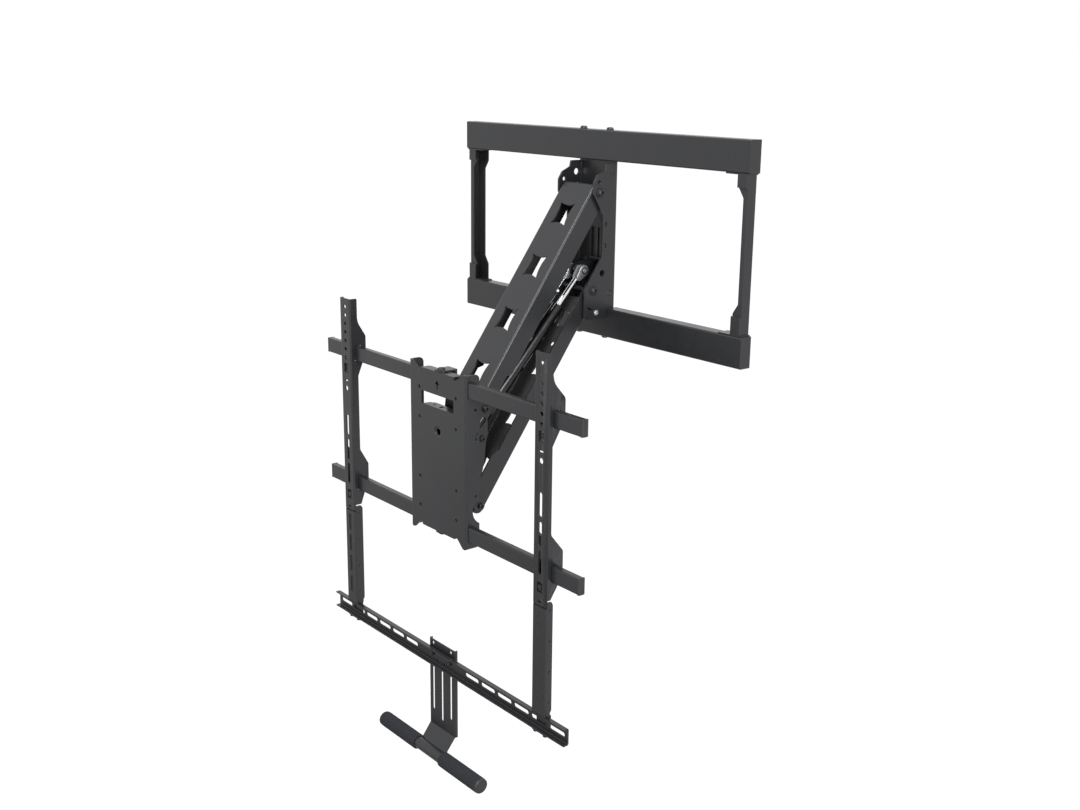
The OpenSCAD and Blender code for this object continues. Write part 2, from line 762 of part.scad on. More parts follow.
// Lower arm: channel open towards the upper arm, with round lugs and four windows
module lower_arm() {
    x = arm_w / 2 + cut;
    color(charcoal) at_lower_arm() difference() {
        intersection() {
            translate([0, arm_over, -lower_web]) rotate([90, 0, 0])
                linear_extrude(arm_len + 2 * arm_over) mirror([0, 1])
                    channel_section(arm_w, lower_web + lower_side_high + 5, arm_wall, arm_bend);
            side_plate(-x, x) {
                for (y = [0, -arm_len]) translate([y, 0]) circle(r = lower_lug_r);
                polygon([[0, -lower_lug_r + 0.1], [0, lower_lug_r - 0.1], [-8, lower_side],
                         [-arm_len + 92, lower_side], [-arm_len + 76, lower_side_high],
                         [-arm_len + 20, lower_side_high], [-arm_len, lower_lug_r - 0.1],
                         [-arm_len, -lower_lug_r + 0.1], [-arm_len + 8, -lower_web],
                         [-8, -lower_web]]);
            }
        }
        for (y = [0, -arm_len]) rod_x(-x, x, y, 0, axle_d + 2 * pin_gap);
        for (i = [0:3])
            translate([0, -lower_window_s - i * lower_window_pitch, 0])
                level_plate(-lower_web - cut, -lower_web + arm_wall + cut)
                    rotate(90) bowed_window(31.5, 28, 3);
        translate([0, -103, 0]) level_plate(-lower_web - cut, -lower_web + arm_wall + cut) circle(d = 8);
        // The web stops short of both lugs
        for (y = [[-12, lug_r + 5], [-arm_len - lug_r - 5, -arm_len + 12]])
            box([-arm_w / 2 + arm_bend + 1, y[0], -lower_web - cut],
                [arm_w / 2 - arm_bend - 1, y[1], -lower_web + arm_wall + cut]);
    }
}

// Spring rod: eye on the anchor pin, rod and piston
module spring_rod(side) {
    color(chrome) at_spring(side) {
        difference() {
            union() {
                rod_x(-eye_w / 2, eye_w / 2, 0, 0, eye_d);
                rod_y(-rod_end, 0, 0, 0, rod_d);
            }
            rod_x(-eye_w, eye_w, 0, 0, anchor_pin_d + 2 * pin_gap);
        }
        rod_y(-rod_end - piston_len, -rod_end, 0, 0, tube_bore - 2 * slide_gap);
    }
}

module left_spring_rod() { spring_rod(-1); }

module right_spring_rod() { spring_rod(1); }

// Spring tube: gland round the rod, hollow cylinder and the eye at its foot
module spring_tube(side) {
    color(black) at_spring(side) difference() {
        union() {
            rod_y(-tube_end, -rod_show, 0, 0, tube_d);
            rod_y(-spring_len, -tube_end, 0, 0, tube_d - 8);
            translate([0, -spring_len, 0]) rod_x(-foot_eye_w / 2, foot_eye_w / 2, 0, 0, foot_eye_d);
        }
        rod_y(-rod_show - gland_len - cut, -rod_show + cut, 0, 0, rod_d + 2 * pin_gap);
        rod_y(-tube_end + tube_foot, -rod_show - gland_len, 0, 0, tube_bore);
        translate([0, -spring_len, 0])
            rod_x(-foot_eye_w, foot_eye_w, 0, 0, foot_pin_d + 2 * pin_gap);
    }
}

module left_spring_tube() { spring_tube(-1); }

module right_spring_tube() { spring_tube(1); }

// Shaft through the feet of both springs, held between the head bracket's sides
module spring_foot_shaft() {
    color(steel) at_plate() rod_x(-column_in + 0.5, column_in - 0.5, foot_y, foot_z, foot_pin_d);
}

// Side view of the head bracket
module head_side() {
    polygon(outline([
        [head_web_y, head_web_top, 0], [head_back - 13.5, head_rise - 11, 4],
        [head_back - 10.5, head_rise + 14, 4], [head_back + 5.5, head_rise + 14, 5],
        [head_back + 8.5, head_rise + 5, 6], [head_back + 8.5, head_rise - 6, 6],
        [head_back + 4.3, head_rise - 16, 2], [foot_y + 11.5, foot_z + 4.4, 4],
        [foot_y + 7.5, foot_z - 7, 0], [foot_y + 5.5, foot_z - 31, 0],
        [foot_y + 1.6, foot_z - 52, 0], [tilt_y + 10.4, tilt_z + 8, 6],
        [tilt_y + 5.5, tilt_z - 8, 5], [tilt_y + 8, tilt_z - 22, 0],
        [lower_head_y + 9, lower_head_z + 10, 8], [lower_head_y + 9, lower_head_z - 9, 8.5],
        [lower_head_y - 10, lower_head_z - 9, 5], [head_web_y, lower_head_z + 16, 3]]));
}

// Head bracket: channel between whose sides both arms end
module head_bracket() {
    x = column_w / 2 + cut;
    color(charcoal) at_plate() difference() {
        intersection() {
            level_plate(lower_head_z - 12, head_rise + 16)
                translate([0, head_web_y]) mirror([0, 1])
                    channel_section(column_w, 60, column_wall, column_bend);
            side_plate(-x, x) head_side();
        }
        rod_x(-x, x, head_back, head_rise, ear_hole_d);
        rod_x(-x, x, lower_head_y, lower_head_z, ear_hole_d);
        rod_x(-x, x, foot_y, foot_z, foot_bolt_d + 2 * pin_gap);
        rod_x(-x, x, tilt_y, tilt_z, tilt_bolt_d + 2 * pin_gap);
        rod_x(-x, x, clamp_y, clamp_z, tilt_bolt_d + 2 * pin_gap);
        side_plate(-x, x) translate([foot_y - 0.5, foot_z + 26.5]) rotate(46) slot(19, 9);
        // Room in the web for the springs' feet as the arms rise
        front_plate(head_web_y - cut, head_web_y + column_wall + cut)
            polygon(outline([[-foot_notch_x, foot_z - foot_swing, 8],
                             [foot_notch_x, foot_z - foot_swing, 8],
                             [foot_notch_x, head_rise, 0], [-foot_notch_x, head_rise, 0]]));
        // The web ends above the lower lugs
        box([-column_in + column_bend + 1, head_web_y - cut, lower_head_z - 12],
            [column_in - column_bend - 1, head_web_y + column_wall + cut, head_web_foot]);
    }
}

module upper_head_axle() {
    at_plate() axle(column_w, head_back, head_rise, 13, 13);
}

module lower_head_axle() {
    at_plate() axle(column_w, lower_head_y, lower_head_z, 10, 10);
}

module head_bushes() {
    color(nylon) at_plate() {
        bush_pair(head_back, head_rise);
        bush_pair(lower_head_y, lower_head_z);
    }
}

// Bolts through the head bracket's sides at the ends of the spring shaft
module spring_foot_bolts() {
    color(black) at_plate() for (s = [0, 1]) mirror([s, 0, 0]) {
        rod_x(column_in, column_w / 2, foot_y, foot_z, foot_bolt_d);
        translate([column_w / 2, foot_y, foot_z]) rotate([0, 90, 0]) cylinder(d = 11, h = 3.5);
    }
}

// Tilt pivot bolts and, above them, the bolts that clamp the tilt
module tilt_bolts() {
    color(black) at_plate() for (s = [0, 1], p = [[tilt_y, tilt_z], [clamp_y, clamp_z]])
        mirror([s, 0, 0]) {
            rod_x(column_in, yoke_ear_x + yoke_wall, p[0], p[1], tilt_bolt_d);
            translate([yoke_ear_x + yoke_wall, p[0], p[1]]) rotate([0, 90, 0])
                cylinder(d = 10 / cos(30), h = 4, $fn = 6);
        }
}

// Swivel yoke: tilts on the head bracket and holds the plate by a tongue at top and foot
module swivel_yoke() {
    flange_z = plate_h / 2 + slide_gap;
    color(charcoal) at_plate() difference() {
        union() {
            front_plate(yoke_front, yoke_back) {
                polygon(outline([[-column_in + 2, tilt_z - 11, 5], [column_in - 2, tilt_z - 11, 5],
                                 [column_in - 2, yoke_top, 5], [-column_in + 2, yoke_top, 5]]));
                translate([-yoke_neck_w / 2, -flange_z - yoke_tongue])
                    square([yoke_neck_w, 2 * flange_z + 2 * yoke_tongue]);
                for (z = [tilt_z, clamp_z])
                    translate([-yoke_ear_x - yoke_wall, z - 7]) square([2 * yoke_ear_x + 2 * yoke_wall, 14]);
            }
            for (s = [0, 1]) mirror([s, 0, 0]) side_plate(yoke_ear_x, yoke_ear_x + yoke_wall) {
                translate([tilt_y, tilt_z]) circle(r = 7);
                translate([yoke_front, tilt_z - 7]) square([tilt_y - yoke_front, 14]);
                translate([clamp_y + tilt_slot, clamp_z]) circle(r = 6);
                polygon([[yoke_front, clamp_z - 7], [clamp_y - 3, clamp_z - 7],
                         [clamp_y + tilt_slot, clamp_z - 6], [clamp_y + tilt_slot, clamp_z + 6],
                         [clamp_y - 3, clamp_z + 7], [yoke_front, clamp_z + 7]]);
            }
            for (t = [0, 1]) mirror([0, 0, t]) level_plate(flange_z, flange_z + yoke_tongue)
                polygon(outline([[-yoke_neck_w / 2, swivel_back - 8, 7],
                                 [yoke_neck_w / 2, swivel_back - 8, 7],
                                 [yoke_neck_w / 2, yoke_back, 0],
                                 [-yoke_neck_w / 2, yoke_back, 0]]));
        }
        rod_z(-flange_z - yoke_tongue - cut, flange_z + yoke_tongue + cut, 0, swivel_back,
              swivel_bolt_d + 2 * pin_gap);
        for (s = [0, 1]) mirror([s, 0, 0]) {
            rod_x(column_w / 2, column_w, tilt_y, tilt_z, tilt_bolt_d + 2 * pin_gap);
            side_plate(column_w / 2, column_w)
                translate([clamp_y + tilt_slot / 2, clamp_z - 0.1])
                    slot(tilt_slot + tilt_bolt_d + 2 * slide_gap, tilt_bolt_d + 2 * slide_gap);
        }
    }
}

// Swivel bolts through the yoke's tongues and the plate's folded edges
module swivel_bolts() {
    top = plate_h / 2 + slide_gap + yoke_tongue;
    color(black) at_plate() for (t = [0, 1]) mirror([0, 0, t]) {
        rod_z(plate_h / 2 - plate_wall + 0.2, top, 0, swivel_back, swivel_bolt_d);
        translate([0, swivel_back, top]) cylinder(d = 13, h = 3);
    }
}

// Front view of the television plate, right half from the top to the foot
plate_half = [
    [0, plate_h / 2, 0], [fold_w / 2, plate_h / 2, 0], [fold_w / 2 + 0.5, plate_h / 2 - 6, 2],
    [fold_w / 2 + 4, plate_h / 2 - 6, 2], [plate_w / 2 - 9, plate_h / 2 + 7.5, 3],
    [plate_w / 2, plate_h / 2 + 7.5, 0], [plate_w / 2, -plate_h / 2 - 10.5, 6],
    [plate_w / 2 - 10, -plate_h / 2 - 10.5, 6], [fold_w / 2 + 6, -plate_h / 2 + 5, 3],
    [fold_w / 2 + 0.5, -plate_h / 2 + 5, 2], [fold_w / 2, -plate_h / 2, 0], [0, -plate_h / 2, 0]];

module plate_front() {
    for (s = [0, 1]) mirror([s, 0]) polygon(outline(plate_half));
}

// Side view of the plate's flanges, with the scallop that clears the lower head pivot
module plate_flange() {
    difference() {
        polygon(outline([[0, -plate_h / 2 - 10.5, 0], [0, plate_h / 2 + 7.5, 0],
                         [plate_depth, plate_h / 2 + 7.5, 8], [plate_depth, -plate_h / 2 - 10.5, 8]]));
        translate([plate_depth + 11, lower_head_z + 7]) circle(r = 24, $fn = 96);
    }
}

// Opening for a cross bar, seen from the side
module bar_hole() {
    for (s = [-1, 1])
        translate([bar_front - slide_gap, s * bar_z - bar_h / 2 - slide_gap])
            square([bar_depth + 2 * slide_gap, bar_h + 2 * slide_gap]);
}

// Arrow that points up
module arrow() {
    translate([-1.5, -7]) square([3, 8.5]);
    polygon([[-6, 1], [6, 1], [0, 8]]);
}

module tv_plate() {
    x = plate_w / 2 + cut;
    color(charcoal) at_plate() difference() {
        union() {
            intersection() {
                level_plate(-plate_h, plate_h) mirror([0, 1])
                    channel_section(plate_w, plate_depth + 1, plate_wall, plate_bend);
                front_plate(-cut, plate_depth) plate_front();
                side_plate(-x, x) plate_flange();
            }
            for (t = [0, 1]) mirror([0, 0, t])
                level_plate(plate_h / 2 - plate_wall, plate_h / 2)
                    polygon(outline([[-fold_w / 2, 0.5, 0], [fold_w / 2, 0.5, 0],
                                     [fold_w / 2, fold_depth, 5], [-fold_w / 2, fold_depth, 5]]));
            // Lip folded back from the window's lower edge
            level_plate(window_foot - plate_wall, window_foot)
                polygon(outline([[-40, 0.5, 0], [34, 0.5, 0], [34, 16, 4], [-30, 19, 8], [-40, 12, 4]]));
        }
        side_plate(-x, x) bar_hole();
        for (s = [-1, 1], z = [-100, -50, 50, 100]) rod_y(-cut, plate_wall + cut, s * 50, z, vesa_d);
        front_plate(-cut, plate_wall + cut) {
            translate([0, (window_top + window_foot) / 2])
                square([window_w, window_top - window_foot], center = true);
            translate([0, bar_z - 6]) arrow();
        }
        rod_y(-cut, plate_wall + cut, 0, dish_z, dish_hole_d);
        translate([0, -0.01, dish_z]) rotate([-90, 0, 0])
            cylinder(d1 = dish_d, d2 = dish_hole_d, h = plate_wall - 0.5);
        rod_z(-plate_h, plate_h, 0, swivel_back, swivel_bolt_d + 2 * pin_gap);
        rod_z(window_foot - 5, window_foot + cut, -20, 9, 5);
        for (z = [84, 37, -55]) rod_x(-x, x, 18, z, flange_hole_d);
        side_plate(-x, x) translate([20, 45]) rotate(30) slot(7, 2.5);
    }
}

// Cross bar: rectangular tube that slides through the plate's flanges
module cross_bar(z) {
    color(charcoal) at_plate() side_plate(-bar_len / 2 + cap_len, bar_len / 2 - cap_len)
        difference() {
            polygon(outline([[bar_front, z - bar_h / 2, bar_corner],
                             [bar_front + bar_depth, z - bar_h / 2, bar_corner],
                             [bar_front + bar_depth, z + bar_h / 2, bar_corner],
                             [bar_front, z + bar_h / 2, bar_corner]]));
            translate([bar_front + bar_wall, z - bar_h / 2 + bar_wall])
                square([bar_depth - 2 * bar_wall, bar_h - 2 * bar_wall]);
        }
}

module upper_cross_bar() { cross_bar(bar_z); }

module lower_cross_bar() { cross_bar(-bar_z); }

// Plastic caps: a domed face with a plug inside the tube
module bar_end_caps() {
    x = bar_len / 2;
    color(black) at_plate() for (s = [0, 1], z = [-bar_z, bar_z]) mirror([s, 0, 0]) {
        level_plate(z - bar_h / 2, z + bar_h / 2)
            polygon(outline([[x - cap_len, bar_front, 0], [x, bar_front, 2.5],
                             [x, bar_front + bar_depth, 2.5],
                             [x - cap_len, bar_front + bar_depth, 0]]));
        box([x - cap_len - 12, bar_front + bar_wall + 0.1, z - bar_h / 2 + bar_wall + 0.1],
            [x - cap_len, bar_front + bar_depth - bar_wall - 0.1, z + bar_h / 2 - bar_wall - 0.1]);
    }
}

// Side view of a television bracket: a shallow channel with two deep lobes round the bars.
// narrow is the rear edge of its flange between the lobes.
module bracket_side(narrow) {
    rear = bar_front + bar_depth + 9.5;
    translate([bracket_front, -bracket_foot])
        square([bracket_wall, bracket_top + bracket_foot]);
    polygon(outline([
        [bracket_front, bracket_top, 0], [bracket_front, -bracket_foot + 11, 0],
        [narrow, -bracket_foot + 11, 2], [16, -136, 6], [rear, -111, 5], [rear, -84, 6],
        [narrow, -56, 10], [narrow, 77, 6], [rear, 116, 6], [rear, 146, 10],
        [narrow, 172, 30], [narrow, bracket_top, 2]]));
}

// Cuts a channel's outer side to the first outline and its inner side, towards the
// television plate, to the second
module handed_sides(side, w) {
    side_plate(side > 0 ? -1 : -w, side > 0 ? w : 1) children(0);
    side_plate(side > 0 ? -w : -1, side > 0 ? 1 : w) children(1);
}

module tv_bracket(side) {
    w = bracket_w / 2 + cut;
    color(charcoal) at_plate() translate([side * bracket_x, 0, 0]) difference() {
        intersection() {
            level_plate(-bracket_foot, bracket_top)
                translate([0, bracket_front]) mirror([0, 1])
                    channel_section(bracket_w, 40, bracket_wall, 2.8);
            handed_sides(side, w) {
                bracket_side(bracket_rear);
                bracket_side(bracket_inner_rear);
            }
        }
        side_plate(-w, w) bar_hole();
        front_plate(bracket_front - cut, bracket_front + bracket_wall + cut) {
            for (i = [0:6]) translate([0, bracket_hole_z - i * bracket_hole_pitch]) circle(d = 7);
            for (z = [upper_clamp_z, lower_clamp_z]) translate([0, z]) square([12, 16], center = true);
            translate([0, upper_clamp_z - 22.5]) square([9, 3], center = true);
            translate([0, lower_clamp_z - 22.5]) square([9, 3], center = true);
            translate([0, 54]) circle(d = 9);
            for (z = [-11.8, -56.6, -100.6]) translate([0, z]) rotate(90) slot(37.2, 7);
        }
    }
}

module left_tv_bracket() { tv_bracket(-1); }

module right_tv_bracket() { tv_bracket(1); }

// Strips between a bracket's sides that take its clamp bolts: the upper one behind the
// bracket's front, the lower one behind the extension's tongue
module clamp_plates(side) {
    color(steel) at_plate() translate([side * bracket_x, 0, 0]) difference() {
        union() for (c = clamp_seats)
            box([-bracket_w / 2 + bracket_wall, c[1], c[0] - 12],
                [bracket_w / 2 - bracket_wall, c[1] + 2, c[0] + 12]);
        for (c = clamp_seats) rod_y(c[1] - cut, c[1] + 2 + cut, 0, c[0], clamp_bolt_d + 0.2);
    }
}

module left_clamp_plates() { clamp_plates(-1); }

module right_clamp_plates() { clamp_plates(1); }

module clamp_bolts(side) {
    color(black) at_plate() translate([side * bracket_x, 0, 0]) {
        bolt_y(0, clamp_seats[0][0], clamp_seats[0][1], clamp_seats[0][1] + 3, 8.5, 2.4, clamp_bolt_d);
        bolt_y(0, clamp_seats[1][0], tongue_front, clamp_seats[1][1] + 3, 8.5, 2.2, clamp_bolt_d);
    }
}

module left_clamp_bolts() { clamp_bolts(-1); }

module right_clamp_bolts() { clamp_bolts(1); }

// Side view of an extension's channel, whose flange ends at the given rear edge
module extension_side(rear) {
    polygon(outline([
        [bracket_front, extension_foot_z, 0], [bracket_front, extension_top, 0],
        [tongue_front, extension_top, 0], [tongue_front, extension_top + 10.5, 0],
        [rear - 3, extension_top + 10.5, 3], [rear, extension_top + 5, 3],
        [rear, extension_foot_z + 9, 2], [rear - 2.5, extension_foot_z + 5, 2],
        [rear - 2.5, extension_foot_z, 0]]));
}

// Extension: tongue inside the bracket, channel below it and a foot round the sound bar rail
module bracket_extension(side) {
    w = bracket_w / 2;
    top = extension_top;
    slot_foot = lower_clamp_z - clamp_bolt_d / 2 - 0.5;
    color(charcoal) at_plate() translate([side * bracket_x, 0, 0]) difference() {
        union() {
            intersection() {
                level_plate(extension_foot_z, top + 11)
                    translate([0, bracket_front]) mirror([0, 1])
                        channel_section(bracket_w, 20, bracket_wall, 2.8);
                handed_sides(side, w + cut) {
                    extension_side(extension_rear);
                    extension_side(extension_inner_rear);
                }
            }
            front_plate(tongue_front, tongue_front + bracket_wall)
                polygon(outline([[-tongue_w / 2, top - 8, 0], [tongue_w / 2, top - 8, 0],
                                 [tongue_w / 2, tongue_top, 3], [-tongue_w / 2, tongue_top, 3]]));
            box([-tongue_w / 2, bracket_front + bracket_wall / 2, top - 8],
                [tongue_w / 2, tongue_front + bracket_wall, top - 2]);
            // Foot: over the rail, down behind it and under it
            box([-w, sound_rail_front + 0.5, sound_rail_z],
                [w, sound_rail_rear + bracket_wall, sound_rail_z + bracket_wall]);
            box([-w, sound_rail_rear, sound_rail_z - sound_rail_h - bracket_wall],
                [w, sound_rail_rear + bracket_wall, sound_rail_z + bracket_wall]);
            box([-w, sound_rail_front + 1, sound_rail_z - sound_rail_h - bracket_wall],
                [w, sound_rail_rear + bracket_wall, sound_rail_z - sound_rail_h]);
        }
        front_plate(bracket_front - cut, tongue_front + bracket_wall + cut) {
            for (i = [0:3]) translate([0, -192 - i * 39.4]) rotate(90) slot(33, 7);
            translate([0, slot_foot + (drop_travel + clamp_bolt_d + 1) / 2])
                rotate(90) slot(drop_travel + clamp_bolt_d + 1, clamp_bolt_d + 1);
        }
        // Dimples down both flanges
        for (s = [0, 1], i = [0:3]) mirror([s, 0, 0])
            rod_x(w - bracket_wall / 2, w + cut, 1, top - 2 - i * 49.5, 4);
        for (s = [-1, 1])
            rod_z(sound_rail_z - sound_rail_h - bracket_wall - cut, sound_rail_z - sound_rail_h + cut,
                  s * rail_bolt_x, 0, rail_bolt_d + 0.2);
    }
}

module left_extension() { bracket_extension(-1); }

module right_extension() { bracket_extension(1); }

// Screws through the lip of an extension's foot, tightened up against the rail
module rail_bolts(side) {
    foot = sound_rail_z - sound_rail_h - bracket_wall;
    color(black) at_plate() for (s = [-1, 1])
        translate([side * bracket_x + s * rail_bolt_x, 0, 0]) {
            rod_z(foot, foot + bracket_wall, 0, 0, rail_bolt_d);
            translate([0, 0, foot - 3]) cylinder(d = 7 / cos(30), h = 3, $fn = 6);
        }
}

module left_rail_bolts() { rail_bolts(-1); }

module right_rail_bolts() { rail_bolts(1); }

// Sound bar rail: channel open towards the room, slotted along its back
module sound_bar_rail() {
    foot = sound_rail_z - sound_rail_h;
    color(charcoal) at_plate() difference() {
        side_plate(-sound_rail_len / 2, sound_rail_len / 2) difference() {
            polygon(outline([[sound_rail_front, foot, 0], [sound_rail_rear, foot, 3],
                             [sound_rail_rear, sound_rail_z, 3], [sound_rail_front, sound_rail_z, 0]]));
            polygon(outline([[sound_rail_front - cut, foot + sound_rail_wall, 0],
                             [sound_rail_rear - sound_rail_wall, foot + sound_rail_wall, 1],
                             [sound_rail_rear - sound_rail_wall, sound_rail_z - sound_rail_wall, 1],
                             [sound_rail_front - cut, sound_rail_z - sound_rail_wall, 0]]));
        }
        front_plate(0, sound_rail_rear + cut) {
            for (s = [-1, 1]) {
                for (i = [0:5])
                    translate([s * (rail_slot_x + i * rail_slot_pitch), sound_rail_z - 14]) slot(36, 7);
                translate([s * handle_screw_x, handle_screw_z]) circle(d = handle_screw_d + 0.4);
                translate([s * 10, sound_rail_z - 20]) circle(d = 3.5);
            }
        }
    }
}

// Screws and nuts that hold the handle bracket to the rail's back
module handle_screws() {
    back = handle_front + handle_wall;
    web = sound_rail_rear - sound_rail_wall;
    color(black) at_plate() for (s = [-1, 1]) {
        rod_y(web - 2.5, web, s * handle_screw_x, handle_screw_z, 9);
        rod_y(web, back + 5, s * handle_screw_x, handle_screw_z, handle_screw_d);
        translate([s * handle_screw_x, back + 0.1, handle_screw_z]) rotate([-90, 0, 0])
            cylinder(d = 8 / cos(30), h = 4, $fn = 6);
    }
}

// Handle bracket: slotted plate behind the rail, folded forwards to the handle tube
module handle_bracket() {
    w = handle_plate_w / 2;
    slot_top = handle_screw_z + handle_screw_d / 2 + 0.4;
    slot_len = handle_travel + handle_screw_d + 3;
    color(charcoal) at_plate() difference() {
        union() {
            level_plate(handle_fold_z, handle_top) translate([0, handle_front]) mirror([0, 1])
                channel_section(handle_plate_w, 6, handle_wall, 2.5);
            side_plate(-w + 1.5, w - 1.5)
                polygon([[handle_front, handle_fold_z + 1], [handle_front + handle_wall, handle_fold_z + 1],
                         [handle_front + handle_wall, handle_fold_z],
                         [handle_axis_y + handle_wall, handle_axis_z + 1],
                         [handle_axis_y, handle_axis_z]]);
        }
        rod_x(-w, w, handle_axis_y, handle_axis_z, handle_tube_d);
        front_plate(handle_front - cut, handle_front + handle_wall + cut) {
            for (s = [-1, 1]) {
                translate([s * handle_screw_x, slot_top - slot_len / 2]) rotate(90)
                    slot(slot_len, handle_screw_d + 0.8);
                translate([s * handle_screw_x, handle_top - 6]) circle(d = 6);
            }
            translate([0, slot_top - 12 - slot_len / 2]) rotate(90) slot(slot_len, handle_screw_d + 0.8);
        }
    }
}

// Handle tube from grip to grip
module handle_tube() {
    x = handle_len / 2 - 4;
    color(charcoal) at_plate() difference() {
        rod_x(-x, x, handle_axis_y, handle_axis_z, handle_tube_d);
        rod_x(-x - cut, x + cut, handle_axis_y, handle_axis_z, handle_tube_d - 4);
    }
}

// Foam grip with shallow rings
module grip() {
    length = (handle_len - grip_gap) / 2 - 4;
    rings = floor((length - 6) / grip_pitch);
    r = grip_d / 2;
    inner = handle_tube_d / 2 + grip_wall_gap;
    color(foam) at_plate() translate([grip_gap / 2, handle_axis_y, handle_axis_z])
        rotate([0, 90, 0]) rotate_extrude()
            polygon(concat([[inner, 0], [r - 1, 0], [r, 1]],
                           [for (i = [0:rings - 1]) let (z = 4 + i * grip_pitch)
                               each [[r, z], [r - 0.6, z + 0.8], [r, z + 1.6]]],
                           [[r, length - 1], [r - 1, length], [inner, length]]));
}

module right_grip() { grip(); }

module left_grip() { mirror([1, 0, 0]) grip(); }

// Round end caps plugged into the handle tube
module handle_end_caps() {
    x = handle_len / 2;
    color(black) at_plate() for (s = [0, 1])
        mirror([s, 0, 0]) translate([x - 4, handle_axis_y, handle_axis_z]) rotate([0, 90, 0])
            rotate_extrude()
                polygon([[0, -10], [handle_tube_d / 2 - 2.2, -10], [handle_tube_d / 2 - 2.2, 0],
                         [grip_d / 2 - 0.5, 0], [grip_d / 2 - 0.5, 2.5], [grip_d / 2 - 2, 4], [0, 4]]);
}

upper_wall_rail();
lower_wall_rail();
upper_rail_cover();
lower_rail_cover();
left_stile();
right_stile();
column();
column_bolts();
cover_screws();
stile_screws();
upper_column_axle();
lower_column_axle();
column_bushes();
spring_anchor();
spring_anchor_pin();
upper_arm();
lower_arm();
left_spring_rod();
right_spring_rod();
left_spring_tube();
right_spring_tube();
spring_foot_shaft();
head_bracket();
upper_head_axle();
lower_head_axle();
head_bushes();
spring_foot_bolts();
tilt_bolts();
swivel_yoke();
swivel_bolts();
tv_plate();
upper_cross_bar();
lower_cross_bar();
bar_end_caps();
left_tv_bracket();
right_tv_bracket();
left_clamp_plates();
right_clamp_plates();
left_clamp_bolts();
right_clamp_bolts();
left_extension();
right_extension();
left_rail_bolts();
right_rail_bolts();
sound_bar_rail();
handle_screws();
handle_bracket();
handle_tube();
left_grip();
right_grip();
handle_end_caps();
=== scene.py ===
import json
import math

import bmesh
import bpy
from mathutils import Matrix, Quaternion, Vector


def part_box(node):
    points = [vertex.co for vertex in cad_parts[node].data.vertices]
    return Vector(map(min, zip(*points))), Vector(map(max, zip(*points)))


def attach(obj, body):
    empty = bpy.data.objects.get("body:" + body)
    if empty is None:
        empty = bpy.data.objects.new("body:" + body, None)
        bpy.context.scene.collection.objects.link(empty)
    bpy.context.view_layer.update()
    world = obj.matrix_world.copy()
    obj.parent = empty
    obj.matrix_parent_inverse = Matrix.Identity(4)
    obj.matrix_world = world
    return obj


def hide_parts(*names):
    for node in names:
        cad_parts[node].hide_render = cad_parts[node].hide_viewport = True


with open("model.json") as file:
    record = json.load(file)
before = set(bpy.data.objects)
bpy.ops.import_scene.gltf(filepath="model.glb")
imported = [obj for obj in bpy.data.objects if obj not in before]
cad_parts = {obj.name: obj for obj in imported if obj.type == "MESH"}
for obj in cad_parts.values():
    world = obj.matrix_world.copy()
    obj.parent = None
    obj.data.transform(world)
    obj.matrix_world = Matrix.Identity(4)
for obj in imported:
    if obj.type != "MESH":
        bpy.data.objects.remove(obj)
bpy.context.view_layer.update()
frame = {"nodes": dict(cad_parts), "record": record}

# Camera of the photograph: place in metres, turn, drop and roll in degrees,
# lens and sensor in millimetres
CAMERA_AT = (1.604648, -1.445441, 0.266101)
CAMERA_TURN, CAMERA_DROP, CAMERA_ROLL = 50.555, 14.794, -0.72
CAMERA_LENS = 42.457
CAMERA_SENSOR = 36
CAMERA_NEAR, CAMERA_FAR = 0.05, 400


def make_camera():
    turn, drop, roll = (math.radians(v) for v in (CAMERA_TURN, CAMERA_DROP, CAMERA_ROLL))
    ahead = Vector((-math.sin(turn) * math.cos(drop), math.cos(turn) * math.cos(drop),
                    -math.sin(drop)))
    right = ahead.cross(Vector((0, 0, 1))).normalized()
    down = ahead.cross(right)
    x = right * math.cos(roll) + down * math.sin(roll)
    y = right * math.sin(roll) - down * math.cos(roll)
    data = bpy.data.cameras.new("photo_camera")
    data.lens = CAMERA_LENS
    data.sensor_width = CAMERA_SENSOR
    data.clip_start, data.clip_end = CAMERA_NEAR, CAMERA_FAR
    camera = bpy.data.objects.new("photo_camera", data)
    bpy.context.collection.objects.link(camera)
    facing = Matrix((x, y, -ahead)).transposed().to_4x4()
    camera.matrix_world = Matrix.Translation(CAMERA_AT) @ facing
    bpy.context.scene.camera = camera


make_camera()


def add_node(tree, kind, values=None, operation=None):
    """Adds a node, with the values of its own sockets by their names or numbers"""
    node = tree.nodes.new(kind)
    if operation:
        node.operation = operation
    for socket, value in (values or {}).items():
        node.inputs[socket].default_value = value
    return node


# Materials

NOISE_BAND = (0.3, 0.7)  # most of a noise texture's values lie in it
NOISE_ROUGHNESS = 0.55
BEVEL_SAMPLES = 4


